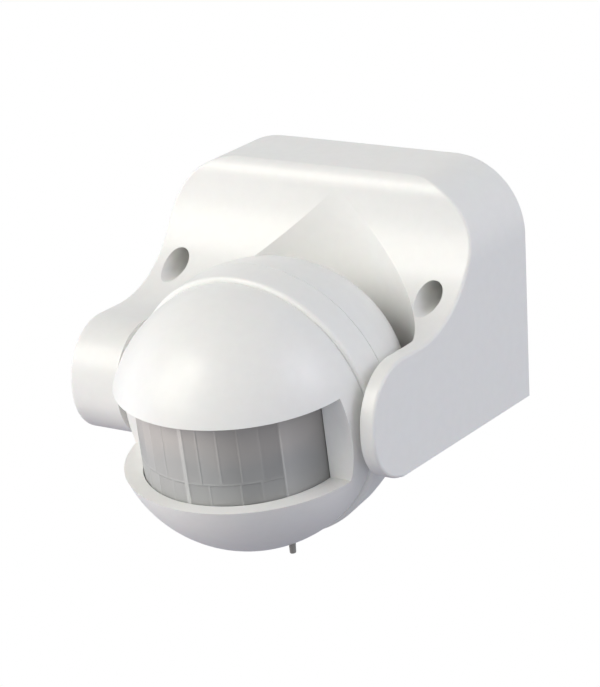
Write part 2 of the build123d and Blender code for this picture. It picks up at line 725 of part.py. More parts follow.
def cover_hollow():
    """Everything empty inside the front cover: the dome's inside less the window's walls."""
    lens_line = at(HEAD, 0, -LENS_CENTRE)
    low = WINDOW_BOTTOM - FRAME_WALL
    high = WINDOW_TOP + FRAME_WALL
    with BuildPart() as hollow:
        with Locations(in_head(0, COVER_CENTRE, 0)):
            Sphere(COVER_R - SHELL_WALL)
        bar(WHOLE_WIDTH, (WINDOW_REAR - FRAME_WALL, 2 * HEAD_R), (low, high), Mode.SUBTRACT)
        spigot(lens_line, low, high, LENS_R + LENS_GAP)
        for x, y in dial_positions():
            spigot(dial_line(x, y), -HEAD_R, WELL_FLOOR + WELL_WALL, WELL_R + WELL_WALL, Mode.SUBTRACT)
        spigot(HEAD_FACE, COLLAR_REAR, COVER_CENTRE, COLLAR_R[0])
    return hollow.part


def make_front_cover():
    with BuildPart() as front_cover:
        with Locations(in_head(0, COVER_CENTRE, 0)):
            Sphere(COVER_R)
        spigot(HEAD_FACE, COVER_REAR, 2 * HEAD_R, HEAD_R, Mode.INTERSECT)
        spigot(HEAD_FACE, COLLAR_REAR, COVER_REAR, COLLAR_R[1])
        add(cover_hollow(), mode=Mode.SUBTRACT)
        bar(WHOLE_WIDTH, (WINDOW_REAR, 2 * HEAD_R), (WINDOW_BOTTOM, WINDOW_TOP), Mode.SUBTRACT)
        spigot(pivot_plane(0), -COLLAR_R[1], COLLAR_R[1], COLLAR_NOTCH_R, Mode.SUBTRACT)
        for x, y in dial_positions():
            spigot(dial_line(x, y), -HEAD_R, WELL_FLOOR, WELL_R, Mode.SUBTRACT)
            spigot(dial_line(x, y), -HEAD_R, 0, SHAFT_R + SHAFT_CLEARANCE, Mode.SUBTRACT)
    save(front_cover, "front_cover")


def lens_ring(radius, thickness, low, high, end):
    """An upright curved strip about the lens's axis, from one height to another."""
    with BuildSketch(HEAD.offset(low)) as strip:
        with Locations((0, -LENS_CENTRE)):
            Circle(radius)
            Circle(radius - thickness, mode=Mode.SUBTRACT)
        with Locations((0, -end)):
            Rectangle(2 * HEAD_R, 2 * HEAD_R, align=(Align.CENTER, Align.MIN), mode=Mode.SUBTRACT)
    extrude(strip.sketch, amount=high - low)


def make_lens():
    with BuildPart() as lens:
        lens_ring(LENS_R, LENS_T, WINDOW_BOTTOM - LENS_LAP, WINDOW_TOP + LENS_LAP, LENS_END)
    save(lens, "lens")


def make_lens_frame():
    low = WINDOW_BOTTOM - LENS_LAP
    high = WINDOW_TOP + LENS_LAP
    radius = LENS_R - LENS_T - PIVOT_CLEARANCE
    with BuildPart() as lens_frame:
        lens_ring(radius, LENS_FRAME_T, low, low + LENS_FRAME_H, LENS_END)
        lens_ring(radius, LENS_FRAME_T, high - LENS_FRAME_H, high, LENS_END)
        for side in (-1, 1):
            across = sorted((side * (LENS_LEG_X - LENS_LEG_W / 2), side * (LENS_LEG_X + LENS_LEG_W / 2)))
            bar(across, (LENS_END - LENS_LEG_W, LENS_FRAME_END), (low, high))
            for up in (-LENS_LEG_UP, LENS_LEG_UP):
                bar(across, (MAIN_BOARD_FRONT, LENS_END), (up - LENS_LEG_W / 2, up + LENS_LEG_W / 2))
    save(lens_frame, "lens_frame")


def make_shell_screws():
    with BuildPart() as shell_screws:
        for x, y in ring_points(POST_RING_R, SHELL_SCREW_ANGLES):
            seat = at(HEAD_FACE.offset(SHELL_SCREW_SEAT), x, y)
            rear_facing = Plane(origin=seat.origin, x_dir=seat.x_dir, z_dir=-seat.z_dir)
            screw(rear_facing, SCREW_HEAD_R, SCREW_HEAD_T, SCREW_R, SHELL_SCREW_TIP - SHELL_SCREW_SEAT)
    save(shell_screws, "shell_screws")


# ---- boards and components --------------------------------------------------------
def make_main_board():
    with BuildPart() as main_board:
        spigot(HEAD_FACE, MAIN_BOARD_REAR, MAIN_BOARD_FRONT, MAIN_BOARD_R)
        extrude(board_boss_sketch(MAIN_BOARD_REAR, SMALL_SCREW_R), amount=BOARD_T, mode=Mode.SUBTRACT)
    save(main_board, "main_board")


def make_board_screws():
    with BuildPart() as board_screws:
        for x, y in ring_points(BOARD_BOSS_RING_R, BOARD_SCREW_ANGLES):
            seat = at(HEAD_FACE.offset(MAIN_BOARD_FRONT), x, y)
            screw(seat, SMALL_HEAD_R, SMALL_HEAD_T, SMALL_SCREW_R, MAIN_BOARD_FRONT - RING_REAR)
    save(board_screws, "board_screws")


def make_power_board():
    with BuildPart() as power_board:
        spigot(HEAD_FACE, POWER_BOARD_FRONT - BOARD_T, POWER_BOARD_FRONT, POWER_BOARD_R)
    save(power_board, "power_board")


def make_board_spacers():
    with BuildPart() as board_spacers:
        for x, y in ring_points(SPACER_RING_R, SPACER_ANGLES):
            tube(at(HEAD_FACE, x, y), POWER_BOARD_FRONT, MAIN_BOARD_REAR, SPACER_R, SPACER_R / 2)
    save(board_spacers, "board_spacers")


def make_dial_board():
    width, depth = DIAL_BOARD
    with BuildPart() as dial_board:
        bar((-width / 2, width / 2), (DIAL_BOARD_REAR, DIAL_BOARD_REAR + depth),
            (DIAL_BOARD_Z, DIAL_BOARD_Z + DIAL_BOARD_T))
    save(dial_board, "dial_board")


def make_dial_header():
    """Right-angle pin header that carries the dial board on the main board."""
    low = DIAL_BOARD_Z + DIAL_BOARD_T
    with BuildPart() as dial_header:
        bar((-DIAL_HEADER_W / 2, DIAL_HEADER_W / 2), (MAIN_BOARD_FRONT, DIAL_HEADER_FRONT),
            (low, low + DIAL_HEADER_H))
        for index in range(-2, 3):
            x = index * PIN_PITCH
            bar((x - PIN_HALF_W, x + PIN_HALF_W), (DIAL_HEADER_FRONT, DIAL_HEADER_FRONT + PIN_PITCH),
                (low, low + 2 * PIN_HALF_W))
    save(dial_header, "dial_header")


def make_board_link():
    """Pin row that joins the power board to the main board."""
    with BuildPart() as board_link:
        bar(LINK_X, (POWER_BOARD_FRONT, POWER_BOARD_FRONT + PIN_PITCH), LINK_UP)
        bar(LINK_X, (MAIN_BOARD_REAR - PIN_PITCH, MAIN_BOARD_REAR), LINK_UP)
        middle = sum(LINK_UP) / 2
        for index in (-1, 0, 1):
            x = index * PIN_PITCH
            bar((x - PIN_HALF_W, x + PIN_HALF_W), (POWER_BOARD_FRONT, MAIN_BOARD_REAR),
                (middle - PIN_HALF_W, middle + PIN_HALF_W))
    save(board_link, "board_link")


def make_pyro_sensor():
    """Heat sensor in a metal can, on three pins, with a filter set in its face."""
    with BuildPart() as pyro_sensor:
        spigot(HEAD_FACE, CAN_RIM[0], CAN_RIM[1], CAN_RIM_R)
        spigot(HEAD_FACE, CAN_RIM[1], CAN_FRONT, CAN_R)
        front_rim = pyro_sensor.edges().filter_by(GeomType.CIRCLE).sort_by(Axis(PIVOT, HEAD_FORWARD))[-1]
        fillet(front_rim, FILTER_T)
        with BuildSketch(HEAD_FACE.offset(CAN_FRONT)):
            Rectangle(*FILTER_SIZE)
        extrude(amount=-FILTER_T, mode=Mode.SUBTRACT)
        for x, y in ring_points(CAN_PIN_RING_R, CAN_PIN_ANGLES):
            spigot(at(HEAD_FACE, x, y), MAIN_BOARD_FRONT, CAN_RIM[0], CAN_PIN_R)
    save(pyro_sensor, "pyro_sensor")
    with BuildPart() as pyro_filter:
        with BuildSketch(HEAD_FACE.offset(CAN_FRONT)):
            Rectangle(*FILTER_SIZE)
        extrude(amount=-FILTER_T)
    save(pyro_filter, "pyro_filter")


def wire_legs(centre, end):
    """Two wire legs between the main board and a component that stands in front of it."""
    for side in (-1, 1):
        leg = at(HEAD_FACE, centre[0] + side * WIRE_HALF_PITCH, centre[1])
        spigot(leg, MAIN_BOARD_FRONT, end, WIRE_R)


def make_photocell():
    with BuildPart() as photocell:
        spigot(at(HEAD_FACE, *PHOTOCELL_AT), *PHOTOCELL_DEPTH, PHOTOCELL_R)
        wire_legs(PHOTOCELL_AT, PHOTOCELL_DEPTH[0])
    save(photocell, "photocell")


def make_status_led():
    line = at(HEAD_FACE, *LED_AT)
    with BuildPart() as status_led:
        spigot(line, *LED_DEPTH, LED_R)
        spigot(line, LED_DEPTH[0], LED_DEPTH[0] + LED_RIM_T, LED_RIM_R)
        with Locations(line.offset(LED_DEPTH[1]).origin):
            Sphere(LED_R)
        wire_legs(LED_AT, LED_DEPTH[0])
    save(status_led, "status_led")


def make_control_chip():
    across, depth, up = CHIP
    leg_front = depth[1]
    with BuildPart() as control_chip:
        bar(across, (depth[0], depth[1] - WIRE_R), up)
        for index in range(CHIP_PINS):
            x = (index - (CHIP_PINS - 1) / 2) * CHIP_PIN_PITCH
            for low, high in ((up[0] - CHIP_PIN_REACH, up[0]), (up[1], up[1] + CHIP_PIN_REACH)):
                bar((x - WIRE_R, x + WIRE_R), (leg_front - CHIP_PIN_DROP, leg_front), (low, high))
    save(control_chip, "control_chip")


def make_relay():
    with BuildPart() as relay:
        bar(*RELAY)
        fillet(relay.edges().filter_by(Axis((0, 0, 0), HEAD_FORWARD)), BODY_EDGE_R)
    save(relay, "relay")


def make_film_capacitor():
    with BuildPart() as film_capacitor:
        bar(*FILM_CAPACITOR)
        fillet(film_capacitor.edges().filter_by(Axis((0, 0, 0), HEAD_FORWARD)), BODY_EDGE_R)
    save(film_capacitor, "film_capacitor")


def make_bulk_capacitor():
    with BuildPart() as bulk_capacitor:
        spigot(at(HEAD_FACE, *BULK_CAPACITOR_AT), *BULK_CAPACITOR_DEPTH, BULK_CAPACITOR_R)
        fillet(bulk_capacitor.edges().filter_by(GeomType.CIRCLE), BULK_CAPACITOR_EDGE_R)
    save(bulk_capacitor, "bulk_capacitor")


def axial_part(centre_depth, ends, up, radius, board_face):
    """A body lying across the head, with a wire from each end bent down to its board."""
    centre = (0, -centre_depth, up)
    across = Plane(origin=HEAD.from_local_coords(centre), x_dir=HEAD_FORWARD, z_dir=(1, 0, 0))
    middle = sum(ends) / 2
    body = (ends[1] - ends[0]) / 2 - radius
    spigot(across, middle - body, middle + body, radius)
    for side in (-1, 1):
        tip = middle + side * (ends[1] - ends[0]) / 2
        low, high = sorted((middle + side * body, tip))
        bar((low - WIRE_R, high + WIRE_R), (centre_depth - WIRE_R, centre_depth + WIRE_R),
            (up - WIRE_R, up + WIRE_R))
        foot = sorted((board_face, centre_depth + WIRE_R if board_face < centre_depth
                       else centre_depth - WIRE_R))
        bar((tip - WIRE_R, tip + WIRE_R), foot, (up - WIRE_R, up + WIRE_R))


def make_diodes():
    with BuildPart() as diodes:
        for up in DIODE_UP:
            axial_part(DIODE_DEPTH, DIODE_X, up, DIODE_R, POWER_BOARD_FRONT)
    save(diodes, "diodes")


def make_resistors():
    with BuildPart() as resistors:
        for up in RESISTOR_UP:
            axial_part(RESISTOR_DEPTH, RESISTOR_X, up, RESISTOR_R, MAIN_BOARD_FRONT)
    save(resistors, "resistors")


def make_dial_pots():
    with BuildPart() as dial_pots:
        for x, y in dial_positions():
            tube(dial_line(x, y), POT_BOTTOM, DIAL_BOARD_Z, POT_R, SHAFT_R + SHAFT_CLEARANCE)
    save(dial_pots, "dial_pots")


# ---- setting dials ----------------------------------------------------------------
def make_dials():
    for (x, y), angle, name in zip(dial_positions(), FIN_ANGLES, DIAL_NAMES):
        line = dial_line(x, y)
        with BuildPart() as dial:
            spigot(line, DIAL_BOTTOM, DIAL_TOP, DIAL_R)
            rim = dial.edges().filter_by(GeomType.CIRCLE).sort_by(Axis(PIVOT, HEAD_UP))[0]
            chamfer(rim, DIAL_CHAMFER)
            spigot(line, DIAL_TOP, SHAFT_TOP, SHAFT_R)
            with BuildSketch(line.offset(DIAL_BOTTOM)):
                SlotOverall(FIN_L, FIN_W, rotation=angle)
            extrude(amount=FIN_TIP - DIAL_BOTTOM)
        save(dial, name)


make_housing()
make_wall_plate()
make_plate_seal()
make_cable_grommet()
make_housing_screws()
make_terminal_block()
make_terminal_cages()
make_terminal_screws()
make_cord_clamp()
make_clamp_screws()
make_base_leads()
make_pivot_rings()

make_rear_shell()
make_shell_seal()
make_middle_ring()
make_front_cover()
make_lens()
make_lens_frame()
make_pivot_tube()
make_pivot_stub()
make_shell_screws()
make_main_board()
make_board_screws()
make_power_board()
make_board_spacers()
make_board_link()
make_dial_board()
make_dial_header()
make_dial_pots()
make_pyro_sensor()
make_photocell()
make_status_led()
make_control_chip()
make_relay()
make_film_capacitor()
make_bulk_capacitor()
make_diodes()
make_resistors()
make_head_leads()
make_dials()
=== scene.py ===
import json
import math

import bpy
from mathutils import Matrix, Vector


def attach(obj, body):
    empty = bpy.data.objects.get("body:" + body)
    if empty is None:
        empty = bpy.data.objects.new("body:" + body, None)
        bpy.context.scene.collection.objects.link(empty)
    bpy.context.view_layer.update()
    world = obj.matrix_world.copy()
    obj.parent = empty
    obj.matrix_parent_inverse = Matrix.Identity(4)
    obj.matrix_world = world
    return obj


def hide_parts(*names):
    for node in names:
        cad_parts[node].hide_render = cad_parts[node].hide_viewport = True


# A wall-mounted motion sensor round its CAD frame: +Y into the wall, +X right seen from
# the front, +Z up, in metres. Local lengths are in millimetres and go through MM.
MM = 0.001
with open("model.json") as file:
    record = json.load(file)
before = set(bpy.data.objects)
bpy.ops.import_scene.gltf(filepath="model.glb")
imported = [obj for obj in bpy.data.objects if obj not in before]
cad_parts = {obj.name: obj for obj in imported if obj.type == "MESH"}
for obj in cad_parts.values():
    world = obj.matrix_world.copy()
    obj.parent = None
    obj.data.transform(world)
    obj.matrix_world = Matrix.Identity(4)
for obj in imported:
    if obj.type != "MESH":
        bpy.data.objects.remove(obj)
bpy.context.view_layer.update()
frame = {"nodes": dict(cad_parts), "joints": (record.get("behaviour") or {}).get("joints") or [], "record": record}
nodes = frame["nodes"]
joints = {joint["name"]: joint for joint in frame["joints"]}


def axes_at(place, x_axis, y_axis, z_axis):
    """The matrix of a frame with these axes at a place."""
    return Matrix.Translation(place) @ Matrix((x_axis, y_axis, z_axis)).transposed().to_4x4()


# ---- the tilted head's own frame: x right, y rearward, z up ---------------------------
PIVOT = Vector(joints["head_tilt"]["pos_m"])
HEAD_UP = -Vector(joints["time_dial_turn"]["axis"]).normalized()
HEAD_REAR = HEAD_UP.cross(Vector((1, 0, 0)))
HEAD = axes_at(PIVOT, Vector((1, 0, 0)), HEAD_REAR, HEAD_UP)


def in_head(across, forward, up):
    """A point of the head's frame, given in millimetres, in the row frame."""
    return HEAD @ Vector((across * MM, -forward * MM, up * MM))


# ---- materials ------------------------------------------------------------------------
SPREAD_FROM, SPREAD_TO = 0.35, 0.65     # the part of a noise that colours spread over
NOISE_ROUGHNESS = 0.55
WANDER_SHARE = 0.05                     # a colour wanders over 20 times the size of its grain
ROUGH_LOW, ROUGH_HIGH = 0.85, 1.15      # roughness varies between these shares of its value


def shader(name):
    """A new material and its principled shader, ready for nodes."""
    material = bpy.data.materials.new(name)
    material.use_nodes = True
    return material, material.node_tree.nodes["Principled BSDF"]


def wire(owner, source, target):
    """Link two sockets of a material or of the world."""
    owner.node_tree.links.new(source, target)


def add_node(owner, kind, **values):
    """A node of a material or of the world, its attributes and inputs set by name."""
    node = owner.node_tree.nodes.new(kind)
    for key, value in values.items():
        if hasattr(node, key):
            setattr(node, key, value)
        else:
            node.inputs[key.replace("_", " ")].default_value = value
    return node


def noise_of(material, scale, detail=3.0):
    """Three-dimensional noise over the object's own coordinates, scale in cells per metre."""
    place = add_node(material, "ShaderNodeTexCoord")
    pattern = add_node(material, "ShaderNodeTexNoise", Scale=scale, Detail=detail,
                       Roughness=NOISE_ROUGHNESS)
    wire(material, place.outputs["Object"], pattern.inputs["Vector"])
    return pattern.outputs["Fac"]


def ramp_of(owner, factor, stops):
    """A colour ramp over (place, colour) stops, in order, driven by a 0 to 1 factor."""
    ramp = add_node(owner, "ShaderNodeValToRGB")
    for element, (position, colour) in zip(ramp.color_ramp.elements, (stops[0], stops[-1])):
        element.position = position
        element.color = (*colour, 1)
    for position, colour in stops[1:-1]:
        ramp.color_ramp.elements.new(position).color = (*colour, 1)
    wire(owner, factor, ramp.inputs["Fac"])
    return ramp.outputs["Color"]


def spread(material, factor, low, high):
    """Turn a 0 to 1 factor into a colour between two colours, steepest round its middle."""
    return ramp_of(material, factor, ((SPREAD_FROM, low), (SPREAD_TO, high)))


def shade_of(colour, factor):
    """A colour made lighter or darker by a factor, no channel above 1."""
    return tuple(min(1.0, channel * factor) for channel in colour)


def bumped(material, principled, layers):
    """Stack bump layers given as (height factor, height in metres)."""
    normal = None
    for height, distance in layers:
        bump = add_node(material, "ShaderNodeBump", Strength=1.0, Distance=distance)
        wire(material, height, bump.inputs["Height"])
        if normal:
            wire(material, normal, bump.inputs["Normal"])
        normal = bump.outputs["Normal"]
    wire(material, normal, principled.inputs["Normal"])


def finish_of(name, colour, roughness, grain, bump, metallic=0.0, tint=0.05, **sockets):
    """A general finish: colour and roughness that wander a little, and a fine grain."""
    material, principled = shader(name)
    wander = noise_of(material, grain * WANDER_SHARE)
    fine = noise_of(material, grain)
    shades = spread(material, wander, shade_of(colour, 1 - tint), shade_of(colour, 1 + tint))
    wire(material, shades, principled.inputs["Base Color"])
    rough = add_node(material, "ShaderNodeMapRange", To_Min=roughness * ROUGH_LOW,
                     To_Max=roughness * ROUGH_HIGH)
    wire(material, fine, rough.inputs["Value"])
    wire(material, rough.outputs["Result"], principled.inputs["Roughness"])
    bumped(material, principled, [(fine, bump)])
    principled.inputs["Metallic"].default_value = metallic
    for socket, value in sockets.items():
        principled.inputs[socket.replace("_", " ")].default_value = value
    return material


WHITE = (0.86, 0.86, 0.845)
FINISHES = {
    "white_shell": dict(colour=WHITE, roughness=0.42, grain=9000, bump=0.000004, tint=0.008,
                        Subsurface_Weight=0.06, Subsurface_Scale=0.002, Coat_Weight=0.22,
                        Coat_Roughness=0.2),
    "inner_shell": dict(colour=(0.80, 0.80, 0.78), roughness=0.45, grain=7000, bump=0.000006,
                        tint=0.012),
    "lens_frame": dict(colour=(0.03, 0.03, 0.033), roughness=0.5, grain=6000, bump=0.00001),
    "dial": dict(colour=(0.30, 0.29, 0.27), roughness=0.42, grain=8000, bump=0.000006),
    "seal": dict(colour=(0.025, 0.025, 0.026), roughness=0.62, grain=5000, bump=0.000012),
    "terminal_plastic": dict(colour=(0.72, 0.73, 0.72), roughness=0.35, grain=6000, bump=0.000005),
    "brass": dict(colour=(0.62, 0.42, 0.16), roughness=0.32, grain=12000, bump=0.000004,
                  metallic=1.0),
    "zinc_screw": dict(colour=(0.55, 0.55, 0.52), roughness=0.34, grain=9000, bump=0.000005,
                       metallic=1.0),
    "spring_steel": dict(colour=(0.36, 0.37, 0.38), roughness=0.30, grain=14000, bump=0.000004,
                         metallic=1.0),
    "nylon": dict(colour=(0.74, 0.72, 0.64), roughness=0.48, grain=6000, bump=0.000006),
    "lead_line": dict(colour=(0.10, 0.035, 0.012), roughness=0.38, grain=5000, bump=0.000006),
    "lead_neutral": dict(colour=(0.01, 0.05, 0.32), roughness=0.38, grain=5000, bump=0.000006),
    "lead_switched": dict(colour=(0.38, 0.008, 0.006), roughness=0.38, grain=5000, bump=0.000006),
    "board": dict(colour=(0.012, 0.09, 0.035), roughness=0.30, grain=2500, bump=0.00001, tint=0.18),
    "board_plastic": dict(colour=(0.015, 0.015, 0.016), roughness=0.45, grain=8000, bump=0.000006),
    "can_metal": dict(colour=(0.62, 0.62, 0.60), roughness=0.2, grain=9000, bump=0.000002,
                      metallic=1.0),
    "filter": dict(colour=(0.02, 0.015, 0.02), roughness=0.12, grain=4000, bump=0.000001),
    "photocell": dict(colour=(0.55, 0.16, 0.06), roughness=0.25, grain=3000, bump=0.000004,
                      tint=0.2),
    "led": dict(colour=(0.55, 0.012, 0.008), roughness=0.15, grain=3000, bump=0.000001,
                Transmission_Weight=0.4),
    "relay": dict(colour=(0.008, 0.04, 0.24), roughness=0.32, grain=7000, bump=0.000005),
    "film_capacitor": dict(colour=(0.60, 0.32, 0.015), roughness=0.30, grain=6000, bump=0.000005),
    "bulk_capacitor": dict(colour=(0.012, 0.014, 0.03), roughness=0.28, grain=6000, bump=0.000004),
    "resistor": dict(colour=(0.42, 0.27, 0.12), roughness=0.35, grain=5000, bump=0.000008),
    "diode": dict(colour=(0.012, 0.012, 0.013), roughness=0.38, grain=6000, bump=0.000005),
    "pot": dict(colour=(0.03, 0.032, 0.045), roughness=0.5, grain=6000, bump=0.000006),
}
materials = {name: finish_of(name, **recipe) for name, recipe in FINISHES.items()}

LENS_REACH = 0.02135            # half the lens's width
LENS_FOOT, LENS_TOP = -0.008, 0.007     # heights between which its shade changes
# painted light: the brightest the lens is painted, at its left where the key light falls
PAINTED_LIGHT_PEAK = 2.1                 # the colour ramp below is a share of this brightness
CLOUD_SCALE = 140
CLOUD_DETAIL = 4.0
CLOUD_SHARE = 0.5               # how far a cloud moves the change of shade
FADE_FROM, FADE_TO = 0.1, 1.2
# tints of the painted shade low on the lens and of the painted light near its top
LOW_SHADE = (0.99, 1.0, 0.985)
HIGH_SHADE = (1.04, 1.0, 0.955)
# painted light: the top of the lens is this much lighter than its foot
TOP_PAINTED_LIGHT_GAIN = 1.12
LENS_GRAIN = 6000
LENS_ROUGH_LOW, LENS_ROUGH_HIGH = 0.44, 0.56
LENS_GRAIN_HEIGHT = 0.000003
LENS_CLOUD_HEIGHT = 0.00003
LENS_IOR = 1.54
# (place across the lens, share of the full brightness) pairs, left to right: painted light, lightest at the left
# where the key light falls, and painted shade towards the right
PAINTED_SIDE_LIGHT = (
    (0.0, 0.79), (0.28, 0.74), (0.38, 0.76), (0.59, 0.75), (0.69, 0.66),
    (0.78, 0.55), (0.86, 0.555), (0.924, 0.54), (0.97, 0.41), (1.0, 0.32),
)


def lens_material(name, milk, clear):
    """Thin translucent polyethylene: milk is its colour, clear is how much shows through; painted light makes it
    lighter at the left and towards the top.
    """
    material, principled = shader(name)
    place = add_node(material, "ShaderNodeTexCoord")
    parts = add_node(material, "ShaderNodeSeparateXYZ")
    wire(material, place.outputs["Object"], parts.inputs["Vector"])

    # painted light and shade from low to high: darker low down, lighter and warmer towards the top, moved about by
    # clouds
    height = add_node(material, "ShaderNodeMapRange", From_Min=PIVOT.z + LENS_FOOT,
                      From_Max=PIVOT.z + LENS_TOP)
    wire(material, parts.outputs["Z"], height.inputs["Value"])
    cloud = noise_of(material, CLOUD_SCALE, detail=CLOUD_DETAIL)
    blotch = add_node(material, "ShaderNodeMath", operation="MULTIPLY_ADD")
    wire(material, cloud, blotch.inputs[0])
    blotch.inputs[1].default_value = CLOUD_SHARE
    wire(material, height.outputs["Result"], blotch.inputs[2])
    fade = add_node(material, "ShaderNodeMapRange", From_Min=FADE_FROM, From_Max=FADE_TO)
    wire(material, blotch.outputs[0], fade.inputs["Value"])
    # painted shade low on the lens turning into painted light towards its top
    shades = spread(material, fade.outputs["Result"], shade_of(LOW_SHADE, milk),
                    shade_of(HIGH_SHADE, milk * TOP_PAINTED_LIGHT_GAIN))

    # painted light and shade from left to right: lighter at the left, where the key light falls, darker towards
    # the right
    across = add_node(material, "ShaderNodeMapRange", From_Min=PIVOT.x - LENS_REACH,
                      From_Max=PIVOT.x + LENS_REACH)
    wire(material, parts.outputs["X"], across.inputs["Value"])
    side = ramp_of(material, across.outputs["Result"],
                   [(position, (share, share, share)) for position, share in PAINTED_SIDE_LIGHT])
    level = add_node(material, "ShaderNodeMath", operation="MULTIPLY")
    wire(material, side, level.inputs[0])
    level.inputs[1].default_value = PAINTED_LIGHT_PEAK
    tint = add_node(material, "ShaderNodeVectorMath", operation="SCALE")
    wire(material, shades, tint.inputs[0])
    wire(material, level.outputs[0], tint.inputs["Scale"])
    wire(material, tint.outputs[0], principled.inputs["Base Color"])

    fine = noise_of(material, LENS_GRAIN)
    rough = add_node(material, "ShaderNodeMapRange", To_Min=LENS_ROUGH_LOW, To_Max=LENS_ROUGH_HIGH)
    wire(material, fine, rough.inputs["Value"])
    wire(material, rough.outputs["Result"], principled.inputs["Roughness"])
    bumped(material, principled, [(fine, LENS_GRAIN_HEIGHT), (cloud, LENS_CLOUD_HEIGHT)])
    principled.inputs["Transmission Weight"].default_value = clear
    principled.inputs["IOR"].default_value = LENS_IOR
    principled.inputs["Specular IOR Level"].default_value = 1.0
    return material


# milk and clear of each face of the lens; PLAIN and the rest are their places in this table
LENS_FINISHES = {
    "lens": (0.40, 0.36),
    "lens_line": (0.415, 0.325),
    "lens_border": (0.44, 0.25),
    "lens_bar": (0.42, 0.16),
    "lens_other": (0.39, 0.40),
}
PLAIN, LINE, EDGE, BAR, OTHER = range(len(LENS_FINISHES))
for name, (milk, clear) in LENS_FINISHES.items():
    materials[name] = lens_material(name, milk, clear)

for entry in frame["record"]["subparts"]:
    mesh = nodes[entry["node"]].data
    mesh.materials.clear()
    mesh.materials.append(materials[entry["material_slot"]])

# ---- the lens: a strip of small flat-faced lenses in two rows -----------------------------
LENS_FORWARD = 10.1
LENS_OUTER_R = 21.35
LENS_INNER_R = 20.75
LENS_LOW, LENS_HIGH = -10.3, 11.1
LENS_END = 85.7
BORDER = 54.3                   # beyond this angle the strip is plain
ROW_SPLIT = -4.2
UPPER_ROW = (-54.3, -43.3, -32.3, -24.0, -13.5, 0.0, 9.5, 20.7, 32.0, 43.2, 54.3)
LOWER_ROW = (-54.3, -43.0, -32.0, -21.5, -9.6, 0.0, 13.5, 30.8, 42.0, 54.3)
ROW_CENTRES = (3.4, -7.3)       # heights of the small lenses' centres
GROOVE_PITCH = 0.9
GROOVE_DEPTH = 0.09
FLATNESS = 0.5                  # 0 is a round strip, 1 is flat faces
LINE_HALF_W = 0.13
MIDDLE_HALF_W = 0.42
LINE_HEIGHT = 0.05
BORDER_MARGIN = 0.5             # degrees past the border where its line may still lie
ON_LINE = -0.001                # a point this far from a line still counts as on it
FACE_STEP, END_STEP = 0.6, 1.6  # degrees between points, on the small lenses and beyond them
HEIGHT_STEP = 0.22
LEAST_STEP = 0.01


def steps(low, high, size, extra):
    """Even steps from low to high with extra values put in, none closer than LEAST_STEP."""
    count = round((high - low) / size)
    values = sorted([low + (high - low) * i / count for i in range(count + 1)] + list(extra))
    return [v for i, v in enumerate(values) if i == 0 or v - values[i - 1] > LEAST_STEP]


def arc(angle):
    """Length along the lens's face of an angle in degrees, in millimetres."""
    return math.radians(angle) * LENS_OUTER_R


def row_of(height):
    """The edges of the small lenses in the row at a height."""
    return UPPER_ROW if height > ROW_SPLIT else LOWER_ROW


def line_offset(angle, height):
    """How far inside the edge of the nearest raised line a point is; below zero is outside."""
    if abs(angle) > BORDER + BORDER_MARGIN:
        return -1.0
    offsets = [MIDDLE_HALF_W - abs(arc(angle)), LINE_HALF_W - abs(height - ROW_SPLIT)]
    offsets += [LINE_HALF_W - abs(arc(angle - edge)) for edge in row_of(height) if edge]
    return max(offsets)


def lens_cell(angle, height):
    """The low and high edges of the small lens at a point, in degrees, or None on the border."""
    row = row_of(height)
    for low_edge, high_edge in zip(row, row[1:]):
        if low_edge <= angle <= high_edge:
            return low_edge, high_edge
    return None


def lens_kind(angle, height):
    """Which of LENS_FINISHES the outer face has at a point."""
    if abs(arc(angle)) < MIDDLE_HALF_W:
        return BAR
    if line_offset(angle, height) > 0:
        return LINE
    cell = lens_cell(angle, height)
    if not cell:
        return EDGE
    return OTHER if row_of(height).index(cell[0]) % 2 else PLAIN


def outer_radius(angle, height):
    """The outer face: flattened small lenses, with raised lines between them."""
    cell = lens_cell(angle, height)
    radius = LENS_OUTER_R - LINE_HEIGHT
    if cell:
        half_cell = math.radians((cell[1] - cell[0]) / 2)
        off_middle = math.radians(angle - sum(cell) / 2)
        radius *= 1 - FLATNESS * (1 - math.cos(half_cell) / math.cos(off_middle))
    if line_offset(angle, height) >= ON_LINE:
        radius = LENS_OUTER_R
    return radius


def inner_radius(angle, height):
    """The inner face: sawtooth grooves in rings round the centre of each small lens."""
    cell = lens_cell(angle, height)
    if not cell:
        return LENS_INNER_R
    centre = ROW_CENTRES[0] if height > ROW_SPLIT else ROW_CENTRES[1]
    reach = math.hypot(arc(angle - sum(cell) / 2), height - centre) / GROOVE_PITCH
    return LENS_INNER_R - GROOVE_DEPTH * (1 - reach % 1)


